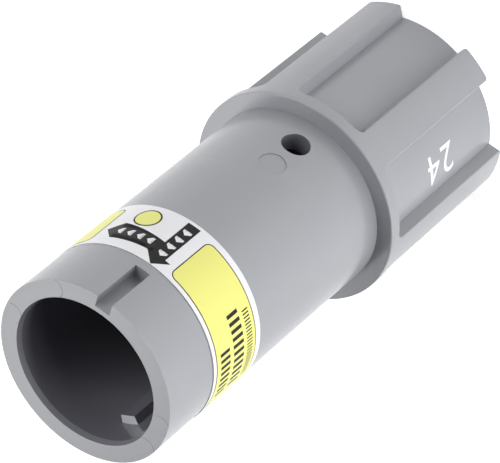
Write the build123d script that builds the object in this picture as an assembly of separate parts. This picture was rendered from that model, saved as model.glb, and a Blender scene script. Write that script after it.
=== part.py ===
from build123d import *
import math
import os

# Single-pole latching power connector, in millimetres.
# It stands on the flat rear end of its grip, with its mouth up.
# Origin: centre of the rear face. +Z: along the mating axis, towards the mouth.
# The keyway, the latch hole and the moulded disc lie on one line, facing -Y.

os.makedirs("parts", exist_ok=True)

# Driving dimensions of the housing
overall_length = 151.0
grip_length = 57.0
tube_radius = 27.0
tube_draft = 0.4
bore_radius = 21.45
mouth_radius = 21.9
lead_in_depth = 1.7
bulkhead_front = 59.0
bulkhead_rear = 50.0
bulkhead_hole_radius = 17.0
chamber_radius = 24.5
grip_radius = 32.25
panel_radius = 28.5
rib_count = 6
rib_width = 10.9
collar_width = 4.0

# Features of the front tube
keyway_width = 4.6
keyway_length = 15.8
keyway_floor_radius = 23.3
latch_hole_radius = 4.0
latch_hole_from_mouth = 84.0
disc_radius = 3.85
disc_from_mouth = 73.0
disc_depth = 0.25
key_angle = 124.4
key_base_width = 5.4
key_top_width = 4.6
key_inner_radius = 18.9
key_from_mouth = 9.8
key_foot = 62.0

# Edge radii and chamfers of the moulding
entry_chamfer = 1.0
mouth_edge = 0.9
collar_edge = 0.5
rib_edge = 0.4
rib_end_corner = 1.0
rear_edge = 0.4
pocket_corner = 2.2
latch_hole_edge = 0.25

# How near an edge must lie to a place to be picked for rounding,
# and how far a cutting body reaches past what it cuts
edge_match = 0.02
overcut = 2.0

# Wrap label
label_front_from_mouth = 18.35
label_rear_from_mouth = 39.05
label_thickness = 0.12

# Contact
pin_radius = 7.5
pin_root_radius = 8.0
pin_root_front = 64.5
pin_tip_from_mouth = 26.0
collar_radius = 13.0
collar_rear = 56.0
collar_front = 60.0
barrel_radius = 11.0
barrel_rear = 24.0
conductor_radius = 6.9
conductor_depth = 26.0
drill_point_depth = 4.0
turned_chamfer = 1.0

# Insulating guard on the pin's tip
guard_radius = 7.2
guard_length = 9.0
guard_nose_radius = 5.0
guard_stem_radius = 4.2
guard_stem_length = 6.0
guard_stem_play = 0.05
guard_end_play = 0.3

# Clamping screws
screw_radius = 4.0
screw_heights = (31.0, 43.0)
screw_chamfer = 0.5
screw_play = 0.05
socket_corner_radius = 2.3
socket_depth = 3.0

# Carrier of the contact; each groove has its rear and front height
carrier_rear = 43.0
carrier_front = 64.0
carrier_flange_radius = 24.3
spigot_radius = 16.9
spigot_chamfer = 1.0
carrier_groove_radius = 15.1
carrier_groove = (56.5, 58.5)
pin_groove_radius = 9.6
pin_groove = (61.2, 62.8)
snap_groove_radius = 14.1
snap_groove = (53.0, 54.5)
fit_gap = 0.2

# Locating pin of the carrier
locating_pin_radius = 1.5
locating_pin_length = 8.0
locating_pin_offset = 20.5
locating_pin_rear = 45.0
locating_pin_play = 0.05
locating_hole_front = 53.2

# Snap ring and thrust washer
snap_ring_radius = 14.0
snap_ring_inner_radius = 11.6
snap_ring_gap = 5.0
snap_ring_play = 0.05
washer_play = 0.1

# Seal rings
pin_seal_radius = 8.8
pin_seal_section = 0.79
carrier_seal_radius = 16.04
carrier_seal_section = 0.93
face_seal_outer_radius = 21.3
face_seal_inner_radius = 17.3
face_seal_height = 2.5
face_seal_edge = 0.8

# Rear cable entry
nut_rear = 1.0
nut_front = 9.3
nut_chamfer = 0.8
nut_play = 0.1
notch_count = 6
notch_radius = 19.5
notch_length = 5.0
notch_width = 4.0
notch_depth = 3.0
washer_front = 10.5
grommet_front = 22.0
grommet_lands = 3
grommet_groove_depth = 1.0
entry_radius = 24.3
sleeve_inner_radius = 21.0
sleeve_seat = 3.0
cable_radius = 12.5
clearance_radius = 14.5
cage_inner_radius = 12.7
cage_rear = 1.5
claw_count = 8
claw_slit_width = 1.2
claw_slit_length = 5.5


def ring(outer, inner, bottom, top):
    """Plain ring about the Z axis."""
    height = top - bottom
    body = Cylinder(outer, height, align=(Align.CENTER, Align.CENTER, Align.MIN))
    hole = Cylinder(inner, height, align=(Align.CENTER, Align.CENTER, Align.MIN))
    return Pos(0, 0, bottom) * (body - hole)


def disc(radius, bottom, top):
    """Plain solid cylinder about the Z axis."""
    return Pos(0, 0, bottom) * Cylinder(radius, top - bottom, align=(Align.CENTER, Align.CENTER, Align.MIN))


def turned(points):
    """Solid of revolution about Z from (radius, height) points."""
    outline = Plane.XZ * make_face(Polyline(*points, close=True))
    return revolve(outline, Axis.Z)


def o_ring(centre_radius, section_radius, height):
    """Round-section seal ring."""
    return Pos(0, 0, height) * Torus(centre_radius, section_radius)


def tube_outside(height):
    """Outer radius of the drafted front tube at a height above the rear face."""
    return tube_radius + tube_draft * (overall_length - height) / (overall_length - grip_length)


def housing_core():
    """Front tube and the front half of the collar, solid, with their rounded edges."""
    core = turned([
        (0, grip_length - collar_width / 2),
        (grip_radius, grip_length - collar_width / 2),
        (grip_radius, grip_length),
        (tube_outside(grip_length), grip_length),
        (tube_radius, overall_length),
        (0, overall_length),
    ])
    rings = core.edges().filter_by(GeomType.CIRCLE)
    collar_rings = [ring_edge for ring_edge in rings if abs(ring_edge.radius - grip_radius) < edge_match]
    front_rim = max(collar_rings, key=lambda ring_edge: (ring_edge @ 0).Z)
    core = fillet(rings.sort_by(Axis.Z)[-1:], mouth_edge)
    return fillet(front_rim, collar_edge)


def spread(piece):
    """The piece repeated once for each grip rib."""
    return [Rot(0, 0, index * 360 / rib_count) * piece for index in range(rib_count)]


def rib_plan():
    """Outline of one rib, drawn on the +X side (x: round the grip, y: height). It has rounded corners
    at its rear end and flares where it runs into the collar."""
    top = grip_length - collar_width
    bar = Rectangle(rib_width, top, align=(Align.CENTER, Align.MIN))
    bar = fillet(bar.vertices().sort_by(Axis.Y)[:2], rib_end_corner)
    foot = Pos(0, top - pocket_corner) * Rectangle(
        rib_width + 2 * pocket_corner, pocket_corner + overcut, align=(Align.CENTER, Align.MIN))
    for side in (-1, 1):
        foot -= Pos(side * (rib_width / 2 + pocket_corner), top - pocket_corner) * Circle(pocket_corner)
    return bar + foot


def pockets():
    """The six shallow pockets between the ribs, with a chamfer along their rear edge."""
    top = grip_length - collar_width
    outside = grip_radius + overcut
    cutter = turned([
        (panel_radius - rear_edge, -overcut),
        (outside, -overcut),
        (outside, top),
        (panel_radius, top),
        (panel_radius, rear_edge),
        (panel_radius - rear_edge, 0),
    ])
    facing = Plane(origin=(panel_radius - overcut, 0, 0), x_dir=(0, 1, 0), z_dir=(1, 0, 0))
    rib = extrude(facing * rib_plan(), outside - panel_radius + 2 * overcut)
    for copy in spread(rib):
        cutter -= copy
    return cutter


def on_grip(edge, top):
    """Whether an edge lies on the grip's outer surface, from its rear end up to a height."""
    points = [edge @ share for share in (0, 0.25, 0.5, 0.75, 1)]
    outside = all(abs(math.hypot(p.X, p.Y) - grip_radius) < edge_match for p in points)
    return outside and all(p.Z < top + edge_match for p in points)


def grip():
    """The ribbed grip, with rounded edges all round its ribs and pockets."""
    half_pitch = 180 / rib_count
    middle_of_collar = grip_length - collar_width / 2
    body = Rot(0, 0, half_pitch) * disc(grip_radius, 0, middle_of_collar) - pockets()
    rims = [edge for edge in body.edges() if on_grip(edge, grip_length - collar_width)]
    return fillet(rims, rib_edge)


def keyway():
    """Groove cut into the outside of the tube, open at the mouth."""
    depth = tube_radius - keyway_floor_radius + overcut
    cutter = Box(keyway_width, depth, keyway_length + overcut, align=(Align.CENTER, Align.MAX, Align.MAX))
    return Pos(0, -keyway_floor_radius, overall_length + overcut) * cutter


def moulded_disc():
    """Thin skin cut away to leave a plain shallow disc beside the latch hole."""
    height = overall_length - disc_from_mouth
    outside = tube_outside(height)
    post = Pos(0, -outside, height) * Rot(90, 0, 0) * Cylinder(disc_radius, disc_radius)
    skin = ring(outside + overcut, outside - disc_depth, height - 2 * disc_radius, height + 2 * disc_radius)
    return post & skin


def hollow():
    """Everything inside the housing that is open: bore, bulkhead hole and rear chamber."""
    front = turned([
        (0, bulkhead_front),
        (bore_radius, bulkhead_front),
        (bore_radius, overall_length - lead_in_depth),
        (mouth_radius, overall_length),
        (mouth_radius, overall_length + overcut),
        (0, overall_length + overcut),
    ])
    rear = turned([
        (0, -overcut),
        (chamber_radius + entry_chamfer, -overcut),
        (chamber_radius + entry_chamfer, 0),
        (chamber_radius, entry_chamfer),
        (chamber_radius, bulkhead_rear),
        (0, bulkhead_rear),
    ])
    middle = disc(bulkhead_hole_radius, bulkhead_rear - overcut, bulkhead_front + overcut)
    return front + middle + rear


def polarising_key():
    """Rib on the bore wall that only a matching mate can pass; it is a little wider at its foot."""
    top = overall_length - key_from_mouth
    section = Polyline(
        (key_inner_radius, -key_top_width / 2),
        (bore_radius, -key_base_width / 2),
        (bore_radius + overcut, -key_base_width / 2),
        (bore_radius + overcut, key_base_width / 2),
        (bore_radius, key_base_width / 2),
        (key_inner_radius, key_top_width / 2),
        close=True)
    bar = extrude(make_face(section), top - key_foot)
    return Rot(0, 0, key_angle) * Pos(0, 0, key_foot) * bar


def add_latch_hole(body):
    """The housing with the latch hole through its wall, slightly rounded where it opens on the tube."""
    height = overall_length - latch_hole_from_mouth
    body -= Pos(0, 0, height) * Rot(90, 0, 0) * disc(latch_hole_radius, key_inner_radius, grip_radius)
    brim = []
    for edge in body.edges():
        spots = [edge @ share for share in (0, 0.25, 0.5, 0.75)]
        round_hole = all(abs(math.hypot(p.X, p.Z - height) - latch_hole_radius) < edge_match for p in spots)
        if round_hole and all(math.hypot(p.X, p.Y) > tube_radius for p in spots):
            brim.append(edge)
    return fillet(brim, latch_hole_edge)


def housing():
    """The one-piece moulded housing."""
    half_pitch = 180 / rib_count
    body = Rot(0, 0, half_pitch) * housing_core() + grip()
    body -= hollow()
    body += polarising_key()
    body -= keyway()
    body = add_latch_hole(body)
    body -= moulded_disc()
    body -= locating_pin_hole()
    return body


def locating_pin_hole():
    """Blind hole through the carrier's flange into the rear of the bulkhead."""
    hole = disc(locating_pin_radius + locating_pin_play, locating_pin_rear, locating_hole_front)
    return Pos(0, locating_pin_offset, 0) * hole


def carrier_locating_pin():
    """Steel pin that stops the carrier turning in the housing."""
    pin = disc(locating_pin_radius, locating_pin_rear, locating_pin_rear + locating_pin_length)
    return Pos(0, locating_pin_offset, 0) * pin


def wrap_label():
    """Foil label wrapped once round the tube."""
    low = overall_length - label_rear_from_mouth
    high = overall_length - label_front_from_mouth
    return turned([
        (tube_outside(low), low),
        (tube_outside(low) + label_thickness, low),
        (tube_outside(high) + label_thickness, high),
        (tube_outside(high), high),
    ])


def contact_pin():
    """Turned and silver-plated contact: pin, collar and clamping barrel in one piece."""
    pin_end = overall_length - pin_tip_from_mouth - guard_length
    body = turned([
        (0, barrel_rear),
        (barrel_radius - turned_chamfer, barrel_rear),
        (barrel_radius, barrel_rear + turned_chamfer),
        (barrel_radius, collar_rear),
        (collar_radius, collar_rear),
        (collar_radius, collar_front),
        (pin_root_radius, collar_front),
        (pin_root_radius, pin_root_front),
        (pin_radius, pin_root_front),
        (pin_radius, pin_end),
        (guard_stem_radius, pin_end),
        (guard_stem_radius, pin_end + guard_stem_length),
        (0, pin_end + guard_stem_length),
    ])
    body -= turned([
        (0, barrel_rear - overcut),
        (conductor_radius + turned_chamfer, barrel_rear - overcut),
        (conductor_radius + turned_chamfer, barrel_rear),
        (conductor_radius, barrel_rear + turned_chamfer),
        (conductor_radius, barrel_rear + conductor_depth),
        (0, barrel_rear + conductor_depth + drill_point_depth),
    ])
    screw_hole = Rot(90, 0, 0) * disc(screw_radius, 0, barrel_radius + overcut)
    for height in screw_heights:
        body -= Pos(0, 0, height) * screw_hole
    return body


def pin_tip_guard():
    """Insulating cap that keeps a finger off the live tip."""
    base = overall_length - pin_tip_from_mouth - guard_length
    nose = base + guard_length
    cap = disc(guard_radius, base, nose)
    cap = fillet(cap.edges().sort_by(Axis.Z)[-1], guard_nose_radius)
    stem_top = base + guard_stem_length + guard_end_play
    return cap - disc(guard_stem_radius + guard_stem_play, base - overcut, stem_top)


def conductor_clamp_screws():
    """Two hexagon-socket set screws that clamp the conductor in the barrel."""
    inner = conductor_radius + fit_gap / 2
    outer = barrel_radius - fit_gap
    screw = disc(screw_radius - screw_play, inner, outer)
    screw = chamfer(screw.edges().filter_by(GeomType.CIRCLE), screw_chamfer)
    screw -= Pos(0, 0, outer - socket_depth) * extrude(RegularPolygon(socket_corner_radius, 6), socket_depth)
    return Compound(children=[Pos(0, 0, height) * Rot(90, 0, 0) * screw for height in screw_heights])


def contact_carrier():
    """Insulating bush that centres the contact in the bulkhead."""
    body = turned([
        (collar_radius + fit_gap, carrier_rear),
        (carrier_flange_radius, carrier_rear),
        (carrier_flange_radius, bulkhead_rear),
        (spigot_radius, bulkhead_rear),
        (spigot_radius, carrier_groove[0]),
        (carrier_groove_radius, carrier_groove[0]),
        (carrier_groove_radius, carrier_groove[1]),
        (spigot_radius, carrier_groove[1]),
        (spigot_radius, carrier_front - spigot_chamfer),
        (spigot_radius - spigot_chamfer, carrier_front),
        (pin_root_radius + fit_gap, carrier_front),
        (pin_root_radius + fit_gap, pin_groove[1]),
        (pin_groove_radius, pin_groove[1]),
        (pin_groove_radius, pin_groove[0]),
        (pin_root_radius + fit_gap, pin_groove[0]),
        (pin_root_radius + fit_gap, collar_front),
        (collar_radius + fit_gap, collar_front),
        (collar_radius + fit_gap, snap_groove[1]),
        (snap_groove_radius, snap_groove[1]),
        (snap_groove_radius, snap_groove[0]),
        (collar_radius + fit_gap, snap_groove[0]),
    ])
    return body - locating_pin_hole()


def contact_thrust_washer():
    """Hard washer between the contact's collar and the snap ring."""
    return ring(collar_radius, barrel_radius + washer_play, snap_groove[1], collar_rear)


def contact_snap_ring():
    """Open spring ring that holds the contact in its carrier."""
    rear = snap_groove[0] + snap_ring_play
    front = snap_groove[1] - snap_ring_play
    gap = Pos(0, snap_ring_radius, (rear + front) / 2) * Box(snap_ring_gap, 3 * overcut, 2 * overcut)
    return ring(snap_ring_radius, snap_ring_inner_radius, rear, front) - gap


def contact_seal_ring():
    """Seal ring between the contact and its carrier."""
    return o_ring(pin_seal_radius, pin_seal_section, sum(pin_groove) / 2)


def carrier_seal_ring():
    """Seal ring between the carrier and the bulkhead."""
    return o_ring(carrier_seal_radius, carrier_seal_section, sum(carrier_groove) / 2)


def mating_face_seal():
    """Rubber ring on the floor of the bore, squeezed by the mate's nose."""
    front = bulkhead_front + face_seal_height
    body = ring(face_seal_outer_radius, face_seal_inner_radius, bulkhead_front, front)
    return fillet(body.edges().filter_by(GeomType.CIRCLE).group_by(Axis.Z)[-1], face_seal_edge)


def clamp_sleeve():
    """Sleeve that passes the gland nut's thrust to the contact carrier."""
    tube = ring(entry_radius, sleeve_inner_radius, grommet_front, carrier_rear)
    seat = ring(entry_radius, clearance_radius, grommet_front, grommet_front + sleeve_seat)
    return tube + seat


def cable_grommet():
    """Rubber grommet that seals on the cable sheath."""
    outline = [(entry_radius - nut_play, washer_front), (entry_radius - nut_play, grommet_front)]
    pitch = (grommet_front - washer_front) / grommet_lands
    for index in range(grommet_lands):
        top = grommet_front - index * pitch
        outline.append((cable_radius, top - pitch / 4))
        outline.append((cable_radius + grommet_groove_depth, top - pitch * 3 / 4))
    outline.append((cable_radius, washer_front))
    return turned(outline)


def slip_washer():
    """Thin washer that lets the nut turn without twisting the grommet."""
    return ring(entry_radius - nut_play, clearance_radius, nut_front, washer_front)


def clamp_cage():
    """Slit ring whose claws grip the cable sheath."""
    body = ring(clearance_radius - nut_play, cage_inner_radius, cage_rear, nut_front)
    from_axis = (Align.MIN, Align.CENTER, Align.MIN)
    slit = Box(clearance_radius, claw_slit_width, claw_slit_length, align=from_axis)
    for index in range(claw_count):
        body -= Rot(0, 0, index * 360 / claw_count) * Pos(0, 0, cage_rear) * slit
    return body


def gland_nut():
    """Round nut, flush in the rear of the grip, with notches for a pin wrench."""
    body = ring(entry_radius + nut_play, clearance_radius, nut_rear, nut_front)
    body = chamfer(body.edges().filter_by(GeomType.CIRCLE).group_by(Axis.Z)[0], nut_chamfer)
    pitch = 360 / notch_count
    notch = Box(notch_length, notch_width, notch_depth, align=(Align.CENTER, Align.CENTER, Align.MIN))
    for index in range(notch_count):
        body -= Rot(0, 0, (index + 0.5) * pitch) * Pos(notch_radius, 0, nut_rear) * notch
    return body


pieces = {
    "housing": housing(),
    "wrap_label": wrap_label(),
    "contact_pin": contact_pin(),
    "pin_tip_guard": pin_tip_guard(),
    "conductor_clamp_screws": conductor_clamp_screws(),
    "contact_carrier": contact_carrier(),
    "carrier_locating_pin": carrier_locating_pin(),
    "contact_thrust_washer": contact_thrust_washer(),
    "contact_snap_ring": contact_snap_ring(),
    "contact_seal_ring": contact_seal_ring(),
    "carrier_seal_ring": carrier_seal_ring(),
    "mating_face_seal": mating_face_seal(),
    "clamp_sleeve": clamp_sleeve(),
    "cable_grommet": cable_grommet(),
    "slip_washer": slip_washer(),
    "clamp_cage": clamp_cage(),
    "gland_nut": gland_nut(),
}

for name, piece in pieces.items():
    export_step(piece, f"parts/{name}.step")
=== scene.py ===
import math

import bmesh
import bpy
from mathutils import Matrix, Quaternion, Vector


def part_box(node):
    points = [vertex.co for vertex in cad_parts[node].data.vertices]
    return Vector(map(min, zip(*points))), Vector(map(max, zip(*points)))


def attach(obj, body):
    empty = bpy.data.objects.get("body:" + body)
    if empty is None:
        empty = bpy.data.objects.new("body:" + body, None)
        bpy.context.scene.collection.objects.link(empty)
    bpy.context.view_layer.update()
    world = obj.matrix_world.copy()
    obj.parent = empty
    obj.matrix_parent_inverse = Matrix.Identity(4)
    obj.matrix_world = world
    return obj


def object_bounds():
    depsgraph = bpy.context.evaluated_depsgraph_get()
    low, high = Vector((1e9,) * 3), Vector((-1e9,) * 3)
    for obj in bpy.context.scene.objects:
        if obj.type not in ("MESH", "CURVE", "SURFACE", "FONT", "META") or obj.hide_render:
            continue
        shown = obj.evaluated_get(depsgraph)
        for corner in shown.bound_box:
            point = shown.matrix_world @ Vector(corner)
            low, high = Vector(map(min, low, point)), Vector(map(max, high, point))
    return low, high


# A grey single-pole power connector standing on its ribbed grip, seen from above its open mouth.
# Sizes are in millimetres, but those of the floor and the lamps are in metres, as comments say.
# Angles are in degrees about the upright axis, 0 at +X, and the keyway is at -90.

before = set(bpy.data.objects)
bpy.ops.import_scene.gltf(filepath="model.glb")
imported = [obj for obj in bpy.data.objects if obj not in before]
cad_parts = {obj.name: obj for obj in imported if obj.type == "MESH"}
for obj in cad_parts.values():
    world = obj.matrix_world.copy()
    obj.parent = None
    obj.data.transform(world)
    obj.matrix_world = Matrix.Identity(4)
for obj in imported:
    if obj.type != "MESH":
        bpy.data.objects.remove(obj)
cad_low, cad_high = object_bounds()

MM = 0.001

# The connector, as its finishes and prints follow it
TOTAL_HEIGHT = round(cad_high[2] / MM, 3)
LABEL_FRONT = round(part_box("wrap_label")[1][2] / MM, 3)
LABEL_THICKNESS = 0.12
GRIP_TOP = 57.0
TUBE_RADIUS_AT_MOUTH = 27.0
TUBE_RADIUS_AT_COLLAR = 27.4
PANEL_RADIUS = 28.5
BORE_RADIUS = 21.45
KEY_FRONT = 141.2
KEYWAY_ANGLE = -90.0
LATCH_HOLE_HEIGHT = 67.0
LATCH_HOLE_RADIUS = 4.0

# Steps round the tube where two parts of the mould met
PARTING_HEIGHTS = (86.1, 69.3)
PARTING_BLEND = 0.3
PARTING_STEP = 0.03
PARTING_INSIDE = TUBE_RADIUS_AT_MOUTH - 1.0

# Round marks of the ejector pins on the rim; a mark fades between two shares of its radius
EJECTOR_ANGLES = (-52.4, -5.4, -179.4, 155.6)
EJECTOR_CIRCLE_RADIUS = 24.5
EJECTOR_RADIUS = 3.0
EJECTOR_HALF_WIDTH = 0.18
EJECTOR_DEPTH = 0.02
# Side of each mark that is kept: the side where its step lies in shade
EJECTOR_SHADED_SIDE = 217.6
EJECTOR_FADE = (-0.2, 0.4)
EJECTOR_SHADE = 0.75
RIM_DEPTH = 0.1

# Where the housing's greys paint shade and light: how steep the bore's walls are, and how level the key's
# front
MASK_MARGIN = 0.05
LEAD_IN_WIDTH = 0.6
WALL_SLOPE = 0.6
FRONT_SLOPE = 0.9
# Painted shade along the ejector marks
MARK_PAINTED_SHADE = "#55575C"
# Painted shade on the walls of the bore and the latch hole
BORE_PAINTED_SHADE = "#74747C"
# Painted light: the key's front face is drawn lighter than the rest of the housing
KEY_FRONT_PAINTED_LIGHT = "#D4D6DA"

# Patterns of the finishes, how deep they go, and how far a finish strays from its own roughness and tint;
# rubber's is the whole range of its roughness
FLOW_CLOUD = 25.0
MOULD_GRAIN = 0.35
MOULD_GRAIN_DEPTH = 0.004
MOULD_ROUGHNESS = (-0.025, 0.025)
FILM_BLOT = 14.0
FILM_SMEAR = 2.0
FILM_WAVE = 6.0
FILM_WAVE_DEPTH = 0.02
FILM_ROUGHNESS = (-0.03, 0.05)
FILM_TINT = 0.94
METAL_BLOT = 5.0
METAL_SMEAR = 1.5
METAL_RING_DEPTH = 0.004
METAL_ROUGHNESS = (-0.05, 0.08)
METAL_TINT = 0.82
RUBBER_BLOOM = 4.0
RUBBER_PEBBLE = 0.3
RUBBER_PEBBLE_DEPTH = 0.03
RUBBER_ROUGHNESS = (0.55, 0.72)

# Prints: how they are cut and shaded, and how far each layer stands above what carries it
STRIP_WIDTH = 0.9
SHARP_ANGLE = 30.0
PRINT_SINK = 0.03
UNDER_TOP = 0.012
INK_TOP = 0.024
OVER_TOP = 0.036

# Label: heights as they are, places round it in degrees from the keyway's line
LABEL_SURFACE = {
    "radius": TUBE_RADIUS_AT_MOUTH + LABEL_THICKNESS,
    "taper": (TUBE_RADIUS_AT_COLLAR - TUBE_RADIUS_AT_MOUTH) / (TOTAL_HEIGHT - GRIP_TOP),
    "angle": KEYWAY_ANGLE,
}
# Painted shadow line along the label's front edge: its width and setback
EDGE_SHADOW_WIDTH = 0.2
EDGE_SHADOW_SETBACK = 0.02
FIELD_START = 45.1
FIELD_END = 348.1
FIELD_LOW = 114.2
FIELD_HIGH = 130.8
FIELD_CORNER = 1.8
OUTLINE_WIDTH = 0.3
BARS_START = 262.0
BAR_ROWS = {
    "upper": {"low": 125.2, "width": 1.0, "height": 4.0, "count": 8, "step": 2.0},
    "middle": {"low": 119.2, "width": 1.1, "height": 4.4, "count": 11, "step": 2.2},
    "lower": {"low": 115.4, "width": 0.4, "height": 2.4, "count": 22, "step": 1.0},
}

# Two arrows with one tail on the label, the rows of chevrons in them, and the disc beside them
SHAFT_WIDTH = 3.9
HEAD_WIDTH = 7.4
LENGTHWISE_TAIL = 113.0
LENGTHWISE_NECK = 128.4
LENGTHWISE_TIP = 132.2
AROUND_LEVEL = 125.25
AROUND_NECK = 32.8
AROUND_TIP = 40.3
CHEVRON = {"width": 2.5, "length": 1.1, "stroke": 0.8}
CHEVRON_COUNT = 4
LENGTHWISE_FIRST = 117.6
LENGTHWISE_STEP = 3.5
AROUND_FIRST = 13.0
AROUND_STEP = 6.6
DISC_PLACE = 24.4
DISC_HEIGHT = 117.6
DISC_RADIUS = 3.8
DISC_RING = 0.45
DISC_SIDES = 48

# Number on one panel of the grip, read from the rear end towards the mouth: a digit's height is a share
# of its font's size, and points of its outline that lie closer than SAME_POINT are one
NUMBER_SURFACE = {"radius": PANEL_RADIUS, "taper": 0.0, "angle": -154.5}
NUMBER_HEIGHT = 9.2
NUMBER_START = 19.5
DIGIT_SHARE = 0.73
DIGIT_SPACING = 1.1
SAME_POINT = 0.001

# Floor, in metres: how strongly its paper glows as light and to the eye, the sector towards which it is
# brighter, with the cosines at which that sector starts and is full, and the distances between which
# its glow to the eye rises to plain white
PAPER_LIGHT = 0.35
PAPER_WHITE = 0.7
BRIGHT_SIDE_LIGHT = 0.36
BRIGHT_SIDE_ANGLE = -150.4
BRIGHT_SIDE_EDGES = (0.56, 0.91)
FAR_PAPER = (0.5, 1.5)
FLOOR_REACH = 3.0
FLOOR_DROP = 0.03 * MM

# Soft boxes round the connector, in metres and watts: azimuth 0 is in front, at -Y
LAMP_DISTANCE = 1.6
LAMPS = {
    "softbox_left": {"azimuth": 270, "elevation": 3, "watts": 18.0, "width": 1.2, "height": 0.4},
    "softbox_left_front": {"azimuth": 308, "elevation": 10, "watts": 5.0, "width": 1.0, "height": 0.5},
    "softbox_right": {"azimuth": 45, "elevation": 45, "watts": 12.5, "width": 1.0, "height": 1.0},
    "softbox_right_back": {"azimuth": 100, "elevation": 35, "watts": 5.0, "width": 1.0, "height": 1.0},
    "softbox_back": {"azimuth": 139, "elevation": 45, "watts": 8.6, "width": 1.0, "height": 1.0},
}

# Camera, worked out from the rims, label edges and grip in the photograph; its clipping is in metres
CAMERA_AZIMUTH = -22.4
CAMERA_ELEVATION = 41.64
CAMERA_ROLL = 129.9
CAMERA_DISTANCE = 846.4
CAMERA_AIM = (0.377, -0.156, 77.135)
CAMERA_LENS = 226.13
SENSOR_WIDTH = 36.0
CAMERA_CLIP = (0.05, 20.0)


# Helpers

def linear(hex_colour):
    """An sRGB hex colour as the linear RGBA that a shader takes."""
    parts = [int(hex_colour[i:i + 2], 16) / 255 for i in (1, 3, 5)]
    return [c / 12.92 if c <= 0.04045 else ((c + 0.055) / 1.055) ** 2.4 for c in parts] + [1.0]


def level_direction(angle):
    """Level unit vector at an angle about the upright axis."""
    turn = math.radians(angle)
    return Vector((math.cos(turn), math.sin(turn), 0.0))


def add(tree, kind, inputs=(), out=0, **settings):
    """Adds a node with its settings, feeds its inputs from values or sockets, and returns one of
    its outputs. Inputs are a list in the node's own order, or a dict by name or number."""
    node = tree.nodes.new(kind)
    for name, value in settings.items():
        setattr(node, name, value)
    for key, value in inputs.items() if isinstance(inputs, dict) else enumerate(inputs):
        if isinstance(value, bpy.types.NodeSocket):
            tree.links.new(value, node.inputs[key])
        else:
            node.inputs[key].default_value = value
    return node.outputs[out] if node.outputs else None


def start_material(name):
    """A new material, its emptied node tree and the object coordinates that its patterns follow."""
    material = bpy.data.materials.new(name)
    material.use_nodes = True
    tree = material.node_tree
    tree.nodes.clear()
    return material, tree, add(tree, "ShaderNodeTexCoord", out="Object")


# Finishes

def axis_distance(tree, place):
    """Distance from the upright axis."""
    flat = add(tree, "ShaderNodeVectorMath", [place, (1.0, 1.0, 0.0)], operation="MULTIPLY")
    return add(tree, "ShaderNodeVectorMath", [flat], out="Value", operation="LENGTH")


def parting_steps(tree, place):
    """Height of the tiny steps round the tube where two parts of the mould met."""
    upright = add(tree, "ShaderNodeSeparateXYZ", [place], out="Z")
    steps = 0.0
    for height in PARTING_HEIGHTS:
        low, high = (height - PARTING_BLEND / 2) * MM, (height + PARTING_BLEND / 2) * MM
        step = add(tree, "ShaderNodeMapRange", [upright, low, high], interpolation_type="SMOOTHSTEP")
        steps = add(tree, "ShaderNodeMath", [step, steps], operation="ADD")
    outside = add(tree, "ShaderNodeMath", [axis_distance(tree, place), PARTING_INSIDE * MM],
                  operation="GREATER_THAN")
    return add(tree, "ShaderNodeMath", [steps, outside], operation="MULTIPLY")


def ejector_arcs_and_shade(tree, place):
    """Strength of the arcs that the mould's ejector pins leave on the rim, each kept to the one side where
    its tiny step lies in shade; as colour it is painted shade."""
    upright = add(tree, "ShaderNodeSeparateXYZ", [place], out="Z")
    on_rim = add(tree, "ShaderNodeMath", [upright, (TOTAL_HEIGHT - RIM_DEPTH) * MM],
                 operation="GREATER_THAN")
    fade_start, fade_end = (share * EJECTOR_RADIUS * MM for share in EJECTOR_FADE)
    marks = 0.0
    for angle in EJECTOR_ANGLES:
        middle = level_direction(angle) * EJECTOR_CIRCLE_RADIUS * MM
        middle.z = TOTAL_HEIGHT * MM
        offset = add(tree, "ShaderNodeVectorMath", [place, middle], operation="SUBTRACT")
        away = add(tree, "ShaderNodeVectorMath", [offset], out="Value", operation="LENGTH")
        gap = add(tree, "ShaderNodeMath", [away, EJECTOR_RADIUS * MM], operation="SUBTRACT")
        gap = add(tree, "ShaderNodeMath", [gap], operation="ABSOLUTE")
        line = add(tree, "ShaderNodeMapRange", [gap, 0.0, EJECTOR_HALF_WIDTH * MM, 1.0, 0.0],
                   interpolation_type="SMOOTHSTEP")
        side = add(tree, "ShaderNodeVectorMath", [offset, level_direction(EJECTOR_SHADED_SIDE)], out="Value",
                   operation="DOT_PRODUCT")
        shaded_side = add(tree, "ShaderNodeMapRange", [side, fade_start, fade_end])
        line = add(tree, "ShaderNodeMath", [line, shaded_side], operation="MULTIPLY")
        marks = add(tree, "ShaderNodeMath", [line, marks], operation="MAXIMUM")
    return add(tree, "ShaderNodeMath", [marks, on_rim], operation="MULTIPLY")


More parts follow.
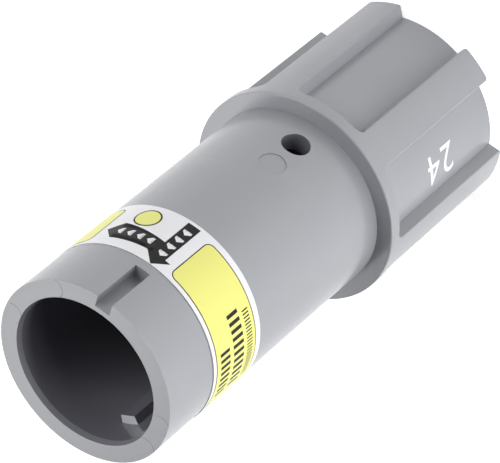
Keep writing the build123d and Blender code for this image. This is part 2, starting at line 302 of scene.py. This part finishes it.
def painted_bore_shade(tree, place):
    """Mask of the painted shade on the walls of the mating bore, less so on its lead-in, and on the latch
    hole's walls."""
    in_bore = add(tree, "ShaderNodeMath", [axis_distance(tree, place), (BORE_RADIUS + LEAD_IN_WIDTH) * MM],
                  operation="LESS_THAN")
    facing = add(tree, "ShaderNodeNewGeometry", out="Normal")
    upward = add(tree, "ShaderNodeSeparateXYZ", [facing], out="Z")
    upward = add(tree, "ShaderNodeMath", [upward], operation="ABSOLUTE")
    steep = add(tree, "ShaderNodeMapRange", [upward, 0.0, WALL_SLOPE, 1.0, 0.0])
    in_bore = add(tree, "ShaderNodeMath", [in_bore, steep], operation="MULTIPLY")
    latch = add(tree, "ShaderNodeVectorMath", [place, (0.0, 0.0, -LATCH_HOLE_HEIGHT * MM)],
                operation="ADD")
    latch = add(tree, "ShaderNodeVectorMath", [latch, (1.0, 0.0, 1.0)], operation="MULTIPLY")
    across = add(tree, "ShaderNodeVectorMath", [latch], out="Value", operation="LENGTH")
    in_latch = add(tree, "ShaderNodeMath", [across, (LATCH_HOLE_RADIUS + MASK_MARGIN) * MM],
                   operation="LESS_THAN")
    front = add(tree, "ShaderNodeSeparateXYZ", [place], out="Y")
    front = add(tree, "ShaderNodeMath", [front, 0.0], operation="LESS_THAN")
    in_latch = add(tree, "ShaderNodeMath", [in_latch, front], operation="MULTIPLY")
    return add(tree, "ShaderNodeMath", [in_bore, in_latch], operation="MAXIMUM")


def painted_light_on_key(tree, place):
    """Mask of the painted light on the key's front face in the bore: the only face at its height that
    looks up.
    """
    upright = add(tree, "ShaderNodeSeparateXYZ", [place], out="Z")
    at_front = add(tree, "ShaderNodeMath", [upright, KEY_FRONT * MM, MASK_MARGIN * MM],
                   operation="COMPARE")
    facing = add(tree, "ShaderNodeNewGeometry", out="Normal")
    upward = add(tree, "ShaderNodeSeparateXYZ", [facing], out="Z")
    looks_up = add(tree, "ShaderNodeMath", [upward, FRONT_SLOPE], operation="GREATER_THAN")
    return add(tree, "ShaderNodeMath", [at_front, looks_up], operation="MULTIPLY")


def moulded_polyamide(name, light, dark, roughness, marked=False):
    """Injection-moulded polyamide: satin, with a fine spark-eroded grain and slight flow clouds.
    The housing's also has the mould's marks, with painted shade on one side of each, painted shade on the
    walls of its bore and latch hole, and painted light on its key's front face."""
    material, tree, place = start_material(name)
    clouds = add(tree, "ShaderNodeTexNoise", {
        "Vector": place, "Scale": 1 / (FLOW_CLOUD * MM), "Detail": 2.0})
    colour = add(tree, "ShaderNodeMix", {0: clouds, 6: linear(dark), 7: linear(light)}, out=2,
                 data_type="RGBA")
    # The tool's grain is about 0.1 mm; it is drawn coarser so that it shows
    grain = add(tree, "ShaderNodeTexNoise", {
        "Vector": place, "Scale": 1 / (MOULD_GRAIN * MM), "Detail": 1.0})
    skin = add(tree, "ShaderNodeBump", {
        "Strength": 1.0, "Distance": MOULD_GRAIN_DEPTH * MM, "Height": grain})
    if marked:
        steps = parting_steps(tree, place)
        skin = add(tree, "ShaderNodeBump", {
            "Distance": PARTING_STEP * MM, "Height": steps, "Normal": skin})
        marks = ejector_arcs_and_shade(tree, place)
        cut = add(tree, "ShaderNodeMath", [1.0, marks], operation="SUBTRACT")
        skin = add(tree, "ShaderNodeBump", {
            "Strength": 1.0, "Distance": EJECTOR_DEPTH * MM, "Height": cut, "Normal": skin})
        shade = add(tree, "ShaderNodeMath", [marks, EJECTOR_SHADE], operation="MULTIPLY")
        # Painted shade on the ejector marks and on the bore's and latch hole's walls, and painted light on
        # the key's front face
        painted_greys = (
            (shade, MARK_PAINTED_SHADE),
            (painted_bore_shade(tree, place), BORE_PAINTED_SHADE),
            (painted_light_on_key(tree, place), KEY_FRONT_PAINTED_LIGHT),
        )
        for mask, grey in painted_greys:
            colour = add(tree, "ShaderNodeMix", {0: mask, 6: colour, 7: linear(grey)}, out=2,
                         data_type="RGBA")
    rough = add(tree, "ShaderNodeMapRange", {
        "Value": clouds,
        "To Min": roughness + MOULD_ROUGHNESS[0],
        "To Max": roughness + MOULD_ROUGHNESS[1],
    })
    shader = add(tree, "ShaderNodeBsdfPrincipled", {
        "Base Color": colour, "Roughness": rough, "IOR": 1.53, "Normal": skin})
    add(tree, "ShaderNodeOutputMaterial", [shader])
    return material


def printed_film(name, colour, roughness, sheen=0.5):
    """Polyester film or the ink on it: smooth and slightly glossy, faintly uneven where it follows
    the tube."""
    material, tree, place = start_material(name)
    base = linear(colour)
    deeper = [c * FILM_TINT for c in base[:3]] + [1.0]
    blots = add(tree, "ShaderNodeTexNoise", {
        "Vector": place, "Scale": 1 / (FILM_BLOT * MM), "Detail": 2.0})
    tint = add(tree, "ShaderNodeMix", {0: blots, 6: deeper, 7: base}, out=2, data_type="RGBA")
    smears = add(tree, "ShaderNodeTexNoise", {
        "Vector": place, "Scale": 1 / (FILM_SMEAR * MM), "Detail": 2.0})
    rough = add(tree, "ShaderNodeMapRange", {
        "Value": smears,
        "To Min": roughness + FILM_ROUGHNESS[0],
        "To Max": roughness + FILM_ROUGHNESS[1],
    })
    waves = add(tree, "ShaderNodeTexNoise", {
        "Vector": place, "Scale": 1 / (FILM_WAVE * MM), "Detail": 1.0})
    skin = add(tree, "ShaderNodeBump", {
        "Strength": 1.0, "Distance": FILM_WAVE_DEPTH * MM, "Height": waves})
    shader = add(tree, "ShaderNodeBsdfPrincipled", {
        "Base Color": tint, "Roughness": rough, "IOR": 1.55, "Specular IOR Level": sheen, "Normal": skin})
    add(tree, "ShaderNodeOutputMaterial", [shader])
    return material


def turned_metal(name, colour, roughness, feed):
    """Turned metal: fine rings round the axis, one for each feed of the tool, and a slightly
    cloudy sheen."""
    material, tree, place = start_material(name)
    base = linear(colour)
    tarnish = [c * METAL_TINT for c in base[:3]] + [1.0]
    blots = add(tree, "ShaderNodeTexNoise", {
        "Vector": place, "Scale": 1 / (METAL_BLOT * MM), "Detail": 3.0})
    tint = add(tree, "ShaderNodeMix", {0: blots, 6: tarnish, 7: base}, out=2, data_type="RGBA")
    smears = add(tree, "ShaderNodeTexNoise", {
        "Vector": place, "Scale": 1 / (METAL_SMEAR * MM), "Detail": 2.0})
    rough = add(tree, "ShaderNodeMapRange", {
        "Value": smears,
        "To Min": roughness + METAL_ROUGHNESS[0],
        "To Max": roughness + METAL_ROUGHNESS[1],
    })
    upright = add(tree, "ShaderNodeSeparateXYZ", [place], out="Z")
    phase = add(tree, "ShaderNodeMath", [upright, 2 * math.pi / (feed * MM)], operation="MULTIPLY")
    rings = add(tree, "ShaderNodeMath", [phase], operation="SINE")
    skin = add(tree, "ShaderNodeBump", {
        "Strength": 1.0, "Distance": METAL_RING_DEPTH * MM, "Height": rings})
    shader = add(tree, "ShaderNodeBsdfPrincipled", {
        "Base Color": tint, "Metallic": 1.0, "Roughness": rough, "Normal": skin})
    add(tree, "ShaderNodeOutputMaterial", [shader])
    return material


def moulded_rubber(name, dark, dusty):
    """Black nitrile rubber: dull, with a dusty bloom and a soft pebbled skin."""
    material, tree, place = start_material(name)
    bloom = add(tree, "ShaderNodeTexNoise", {
        "Vector": place, "Scale": 1 / (RUBBER_BLOOM * MM), "Detail": 3.0})
    tint = add(tree, "ShaderNodeMix", {0: bloom, 6: linear(dark), 7: linear(dusty)}, out=2,
               data_type="RGBA")
    rough = add(tree, "ShaderNodeMapRange", {
        "Value": bloom, "To Min": RUBBER_ROUGHNESS[0], "To Max": RUBBER_ROUGHNESS[1]})
    pebbles = add(tree, "ShaderNodeTexNoise", {
        "Vector": place, "Scale": 1 / (RUBBER_PEBBLE * MM), "Detail": 1.0})
    skin = add(tree, "ShaderNodeBump", {
        "Strength": 1.0, "Distance": RUBBER_PEBBLE_DEPTH * MM, "Height": pebbles})
    shader = add(tree, "ShaderNodeBsdfPrincipled", {
        "Base Color": tint, "Roughness": rough, "IOR": 1.52, "Normal": skin})
    add(tree, "ShaderNodeOutputMaterial", [shader])
    return material


SHELL = moulded_polyamide("polyamide_light_grey_moulded", "#9FA1A6", "#989A9F", 0.24, marked=True)
INSULATOR = moulded_polyamide("polyamide_black_moulded", "#2B2C2E", "#232426", 0.42)
ENTRY = moulded_polyamide("polyamide_dark_grey_moulded", "#55565A", "#4C4D51", 0.42)
FILM = printed_film("polyester_film_white", "#F0F0F4", 0.32)
YELLOW_INK = printed_film("screen_ink_yellow", "#EFED7E", 0.34)
BLACK_INK = printed_film("screen_ink_black", "#1C1C1D", 0.38, sheen=0.15)
WHITE_INK = printed_film("screen_ink_white", "#EFEFF1", 0.40)
SILVER = turned_metal("silver_plated_copper_turned", "#DAD7CF", 0.34, feed=0.25)
STEEL = turned_metal("spring_steel_bright", "#B9B9BA", 0.34, feed=0.2)
RUBBER = moulded_rubber("nitrile_rubber_black", "#1B1B1C", "#2A2A2B")

NODE_FINISHES = {
    "housing": SHELL,
    "wrap_label": FILM,
    "contact_pin": SILVER,
    "pin_tip_guard": INSULATOR,
    "conductor_clamp_screws": STEEL,
    "contact_carrier": INSULATOR,
    "carrier_locating_pin": STEEL,
    "contact_thrust_washer": STEEL,
    "contact_snap_ring": STEEL,
    "contact_seal_ring": RUBBER,
    "carrier_seal_ring": RUBBER,
    "mating_face_seal": RUBBER,
    "clamp_sleeve": ENTRY,
    "cable_grommet": RUBBER,
    "slip_washer": STEEL,
    "clamp_cage": ENTRY,
    "gland_nut": ENTRY,
}

for node_name, finish in NODE_FINISHES.items():
    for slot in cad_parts[node_name].material_slots:
        slot.material = finish


# Prints: flat shapes drawn in millimetres, then wrapped round the connector

def wrap_tree():
    """Node tree that repeats a flat shape along a straight row and wraps the row round the upright
    axis. A shape's x runs round the connector, its y is the height and its z the height above
    the surface."""
    tree = bpy.data.node_groups.new("wrapped_print", "GeometryNodeTree")
    tree.interface.new_socket("Print", in_out="OUTPUT", socket_type="NodeSocketGeometry")
    for name, kind in (("Shape", "Geometry"), ("Count", "Int"), ("Step", "Vector"), ("Radius", "Float"),
                       ("Taper", "Float"), ("Angle", "Float"), ("Material", "Material")):
        tree.interface.new_socket(name, in_out="INPUT", socket_type="NodeSocket" + kind)
    given = tree.nodes.new("NodeGroupInput").outputs
    row = add(tree, "GeometryNodeMeshLine", {"Count": given["Count"], "Offset": given["Step"]})
    copies = add(tree, "GeometryNodeInstanceOnPoints", {"Points": row, "Instance": given["Shape"]})
    shapes = add(tree, "GeometryNodeRealizeInstances", [copies])
    flat = add(tree, "GeometryNodeInputPosition")
    along = add(tree, "ShaderNodeSeparateXYZ", [flat], out="X")
    height = add(tree, "ShaderNodeSeparateXYZ", [flat], out="Y")
    raised = add(tree, "ShaderNodeSeparateXYZ", [flat], out="Z")
    depth = add(tree, "ShaderNodeMath", [TOTAL_HEIGHT, height], operation="SUBTRACT")
    ground = add(tree, "ShaderNodeMath", [depth, given["Taper"], given["Radius"]],
                 operation="MULTIPLY_ADD")
    radius = add(tree, "ShaderNodeMath", [ground, raised], operation="ADD")
    turn = add(tree, "ShaderNodeMath", [along, given["Radius"]], operation="DIVIDE")
    turn = add(tree, "ShaderNodeMath", [turn, given["Angle"]], operation="ADD")
    across = add(tree, "ShaderNodeMath", [turn], operation="COSINE")
    across = add(tree, "ShaderNodeMath", [across, radius], operation="MULTIPLY")
    inward = add(tree, "ShaderNodeMath", [turn], operation="SINE")
    inward = add(tree, "ShaderNodeMath", [inward, radius], operation="MULTIPLY")
    wrapped = add(tree, "ShaderNodeCombineXYZ", [across, inward, height])
    wrapped = add(tree, "ShaderNodeVectorMath", {0: wrapped, "Scale": MM}, operation="SCALE")
    bent = add(tree, "GeometryNodeSetPosition", {"Geometry": shapes, "Position": wrapped})
    painted = add(tree, "GeometryNodeSetMaterial", {"Geometry": bent, "Material": given["Material"]})
    add(tree, "NodeGroupOutput", [painted])
    return tree


WRAP = wrap_tree()


def wrapped_print(name, flat, ink, top, surface, count=1, step=(0.0, 0.0)):
    """Makes a print from a flat bmesh: cuts it into strips that can bend, gives it thickness,
    repeats it along a row and wraps it on a surface."""
    bmesh.ops.triangulate(flat, faces=flat.faces[:])
    left = min(vertex.co.x for vertex in flat.verts)
    right = max(vertex.co.x for vertex in flat.verts)
    strips = math.ceil((right - left) / STRIP_WIDTH)
    for index in range(1, strips):
        cut = (left + (right - left) * index / strips, 0, 0)
        whole = flat.verts[:] + flat.edges[:] + flat.faces[:]
        bmesh.ops.bisect_plane(flat, geom=whole, plane_co=cut, plane_no=(1, 0, 0))
    for vertex in flat.verts:
        vertex.co.z = -PRINT_SINK
    for item in bmesh.ops.extrude_face_region(flat, geom=flat.faces[:])["geom"]:
        if isinstance(item, bmesh.types.BMVert):
            item.co.z = top
    bmesh.ops.recalc_face_normals(flat, faces=flat.faces[:])
    mesh = bpy.data.meshes.new(name)
    flat.to_mesh(mesh)
    flat.free()
    piece = bpy.data.objects.new(name, mesh)
    bpy.context.scene.collection.objects.link(piece)
    modifier = piece.modifiers.new("wrap", "NODES")
    modifier.node_group = WRAP
    values = {
        "Count": count,
        "Step": (step[0], step[1], 0.0),
        "Radius": surface["radius"],
        "Taper": surface["taper"],
        "Angle": math.radians(surface["angle"]),
        "Material": ink,
    }
    for item in WRAP.interface.items_tree:
        if item.name in values:
            modifier[item.identifier] = values[item.name]
    evaluated = piece.evaluated_get(bpy.context.evaluated_depsgraph_get())
    wrapped = bpy.data.meshes.new_from_object(evaluated)
    piece.modifiers.clear()
    piece.data = wrapped
    wrapped.shade_smooth()
    wrapped.set_sharp_from_angle(angle=math.radians(SHARP_ANGLE))
    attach(piece, "root")


def arc(middle, radius, start, end, steps=8):
    """Points along an arc from one angle to another."""
    angles = [math.radians(start + (end - start) * index / steps) for index in range(steps + 1)]
    return [(middle[0] + radius * math.cos(a), middle[1] + radius * math.sin(a)) for a in angles]


def disc(middle, radius):
    """Outline of a disc."""
    return arc(middle, radius, 0, 360 - 360 / DISC_SIDES, DISC_SIDES - 1)


def rounded_rectangle(left, right, low, high, radius):
    """Outline of a rectangle with round corners."""
    return (arc((right - radius, low + radius), radius, -90, 0)
            + arc((right - radius, high - radius), radius, 0, 90)
            + arc((left + radius, high - radius), radius, 90, 180)
            + arc((left + radius, low + radius), radius, 180, 270))


def bar(left, low, width, height):
    """Outline of an upright bar."""
    return [(left, low), (left + width, low), (left + width, low + height), (left, low + height)]


def chevron(tip, heading, width, length, stroke):
    """Outline of a V whose tip points along a heading."""
    turn = Matrix.Rotation(math.radians(heading), 2)
    half = width / 2
    corners = [(0, 0), (-length, half), (-length - stroke, half), (-stroke, 0), (-length - stroke, -half),
               (-length, -half)]
    return [tuple(Vector(tip) + turn @ Vector(corner)) for corner in corners]


def label_x(degrees):
    """Distance round the label at an angle from the keyway's line."""
    return math.radians(degrees) * LABEL_SURFACE["radius"]


def double_arrow():
    """Outline of two arrows with one tail: one runs to the label's front edge, the other turns off
    round the tube."""
    shaft = SHAFT_WIDTH / 2
    head = HEAD_WIDTH / 2
    neck = label_x(AROUND_NECK)
    return [
        (-shaft, LENGTHWISE_TAIL),
        (shaft, LENGTHWISE_TAIL),
        (shaft, AROUND_LEVEL - shaft),
        (neck, AROUND_LEVEL - shaft),
        (neck, AROUND_LEVEL - head),
        (label_x(AROUND_TIP), AROUND_LEVEL),
        (neck, AROUND_LEVEL + head),
        (neck, AROUND_LEVEL + shaft),
        (shaft, AROUND_LEVEL + shaft),
        (shaft, LENGTHWISE_NECK),
        (head, LENGTHWISE_NECK),
        (0, LENGTHWISE_TIP),
        (-head, LENGTHWISE_NECK),
        (-shaft, LENGTHWISE_NECK),
    ]


def label_print(name, outline, ink, top, count=1, step=(0.0, 0.0)):
    """Prints an outline, or a row of it, on the label."""
    flat = bmesh.new()
    flat.faces.new([flat.verts.new((x, y, 0)) for x, y in outline])
    wrapped_print("label_" + name, flat, ink, top, LABEL_SURFACE, count, step)


def label_prints():
    """Everything printed on the white film, and a painted shadow line along its front edge towards the
    mouth.
    """
    # A painted shadow under the film's front edge, printed in black ink
    painted_edge_shadow = bar(0.0, LABEL_FRONT - EDGE_SHADOW_WIDTH - EDGE_SHADOW_SETBACK, label_x(360), EDGE_SHADOW_WIDTH)
    label_print("painted_edge_shadow", painted_edge_shadow, BLACK_INK, UNDER_TOP)
    left, right, edge = label_x(FIELD_START), label_x(FIELD_END), OUTLINE_WIDTH
    outline = rounded_rectangle(left - edge, right + edge, FIELD_LOW - edge, FIELD_HIGH + edge,
                                FIELD_CORNER + edge)
    label_print("field_outline", outline, BLACK_INK, UNDER_TOP)
    field = rounded_rectangle(left, right, FIELD_LOW, FIELD_HIGH, FIELD_CORNER)
    label_print("field_yellow", field, YELLOW_INK, INK_TOP)

    label_print("arrows", double_arrow(), BLACK_INK, INK_TOP)
    lengthwise = chevron((0, LENGTHWISE_FIRST), 90, **CHEVRON)
    label_print("chevrons_lengthwise", lengthwise, WHITE_INK, OVER_TOP, CHEVRON_COUNT,
                (0.0, LENGTHWISE_STEP))
    around = chevron((label_x(AROUND_FIRST), AROUND_LEVEL), 0, **CHEVRON)
    label_print("chevrons_around", around, WHITE_INK, OVER_TOP, CHEVRON_COUNT,
                (label_x(AROUND_STEP), 0.0))

    middle = (label_x(DISC_PLACE), DISC_HEIGHT)
    label_print("disc_outline", disc(middle, DISC_RADIUS), BLACK_INK, UNDER_TOP)
    label_print("disc_yellow", disc(middle, DISC_RADIUS - DISC_RING), YELLOW_INK, INK_TOP)
    for row, size in BAR_ROWS.items():
        first = bar(label_x(BARS_START), size["low"], size["width"], size["height"])
        label_print("bars_" + row, first, BLACK_INK, OVER_TOP, size["count"], (size["step"], 0.0))


def grip_number(digits):
    """Plain white digits printed on one panel of the grip."""
    text = bpy.data.curves.new("grip_number_text", "FONT")
    text.body = digits
    text.size = NUMBER_HEIGHT / DIGIT_SHARE
    text.space_character = DIGIT_SPACING
    holder = bpy.data.objects.new("grip_number_text", text)
    bpy.context.scene.collection.objects.link(holder)
    flat = bmesh.new()
    flat.from_mesh(holder.to_mesh())
    bpy.data.objects.remove(holder)
    bmesh.ops.remove_doubles(flat, verts=flat.verts[:], dist=SAME_POINT)
    for vertex in flat.verts:
        vertex.co = Vector((NUMBER_HEIGHT / 2 - vertex.co.y, NUMBER_START + vertex.co.x, 0))
    wrapped_print("grip_number", flat, WHITE_INK, INK_TOP, NUMBER_SURFACE)


label_prints()
grip_number("24")


# Surroundings

def seen_directly(tree):
    """1 where the eye, a reflection or a glass sees the surroundings, 0 where they only give light."""
    seen = add(tree, "ShaderNodeLightPath", out="Is Camera Ray")
    for kind in ("Is Glossy Ray", "Is Transmission Ray"):
        ray = add(tree, "ShaderNodeLightPath", out=kind)
        seen = add(tree, "ShaderNodeMath", [seen, ray], operation="MAXIMUM")
    return seen


def studio_paper():
    """White paper on a light table: it glows, more on one side of the connector, and the lamps light
    it too, so that the connector's shadow on it stays faint."""
    material, tree, place = start_material("studio_paper_white")
    seen = seen_directly(tree)
    glow = add(tree, "ShaderNodeMapRange", {"Value": seen, "To Min": PAPER_LIGHT, "To Max": PAPER_WHITE})
    outward = add(tree, "ShaderNodeVectorMath", [place], operation="NORMALIZE")
    facing = add(tree, "ShaderNodeVectorMath", [outward, level_direction(BRIGHT_SIDE_ANGLE)], out="Value",
                 operation="DOT_PRODUCT")
    bright = add(tree, "ShaderNodeMapRange", [facing, *BRIGHT_SIDE_EDGES, 0.0, BRIGHT_SIDE_LIGHT],
                 interpolation_type="SMOOTHSTEP")
    glow = add(tree, "ShaderNodeMath", [glow, bright], operation="ADD")
    # Far off, where the lamps give little, the eye still sees the paper as white as the surroundings
    away = add(tree, "ShaderNodeVectorMath", [place], out="Value", operation="LENGTH")
    away = add(tree, "ShaderNodeMapRange", [away, *FAR_PAPER, 0.0, 1.0 - PAPER_WHITE])
    eye = add(tree, "ShaderNodeLightPath", out="Is Camera Ray")
    away = add(tree, "ShaderNodeMath", [away, eye], operation="MULTIPLY")
    glow = add(tree, "ShaderNodeMath", [glow, away], operation="ADD")
    glow = add(tree, "ShaderNodeEmission", [linear("#FFFFFF"), glow])
    paper = add(tree, "ShaderNodeBsdfDiffuse", [linear("#E6E6E6")])
    add(tree, "ShaderNodeOutputMaterial", [add(tree, "ShaderNodeAddShader", [glow, paper])])
    return material


def make_floor():
    """Flat sheet just under the connector: white to the camera, and it keeps the soft shadow."""
    mesh = bpy.data.meshes.new("floor")
    reach, level = FLOOR_REACH, -FLOOR_DROP
    corners = ((-reach, -reach), (reach, -reach), (reach, reach), (-reach, reach))
    mesh.from_pydata([(x, y, level) for x, y in corners], [], [(0, 1, 2, 3)])
    mesh.materials.append(studio_paper())
    floor = bpy.data.objects.new("floor", mesh)
    bpy.context.scene.collection.objects.link(floor)


def white_world():
    """White surroundings for the eye and for reflections; the light comes from the lamps and the
    paper."""
    world = bpy.data.worlds.new("studio")
    bpy.context.scene.world = world
    world.use_nodes = True
    tree = world.node_tree
    tree.nodes.clear()
    white = add(tree, "ShaderNodeBackground", [linear("#FFFFFF"), seen_directly(tree)])
    add(tree, "ShaderNodeOutputWorld", [white])


make_floor()
white_world()


# Lamps and camera

def towards(azimuth, elevation):
    """Unit vector from the connector towards a place round it; azimuth 0 is in front, at -Y."""
    turn, tilt = math.radians(azimuth), math.radians(elevation)
    return Vector((math.sin(turn) * math.cos(tilt), -math.cos(turn) * math.cos(tilt), math.sin(tilt)))


def light_lamp(name, azimuth, elevation, watts, width, height):
    """Soft box aimed at the middle of the connector."""
    data = bpy.data.lights.new(name, "AREA")
    data.shape = "RECTANGLE"
    data.size = width
    data.size_y = height
    data.energy = watts
    lamp = bpy.data.objects.new(name, data)
    bpy.context.scene.collection.objects.link(lamp)
    back = towards(azimuth, elevation)
    lamp.location = Vector((0, 0, TOTAL_HEIGHT / 2 * MM)) + back * LAMP_DISTANCE
    lamp.rotation_mode = "QUATERNION"
    lamp.rotation_quaternion = (-back).to_track_quat("-Z", "Y")


def make_camera():
    """Long-lens camera, rolled so that the upright connector points down to the left."""
    data = bpy.data.cameras.new("camera")
    data.lens = CAMERA_LENS
    data.sensor_fit = "HORIZONTAL"
    data.sensor_width = SENSOR_WIDTH
    data.clip_start, data.clip_end = CAMERA_CLIP
    camera = bpy.data.objects.new("camera", data)
    bpy.context.scene.collection.objects.link(camera)
    back = towards(CAMERA_AZIMUTH, CAMERA_ELEVATION)
    camera.location = (Vector(CAMERA_AIM) + back * CAMERA_DISTANCE) * MM
    camera.rotation_mode = "QUATERNION"
    level = (-back).to_track_quat("-Z", "Y")
    camera.rotation_quaternion = level @ Quaternion((0, 0, 1), -math.radians(CAMERA_ROLL))
    bpy.context.scene.camera = camera


for lamp_name, setting in LAMPS.items():
    light_lamp(lamp_name, **setting)
make_camera()
bpy.context.scene.view_settings.view_transform = "Standard"
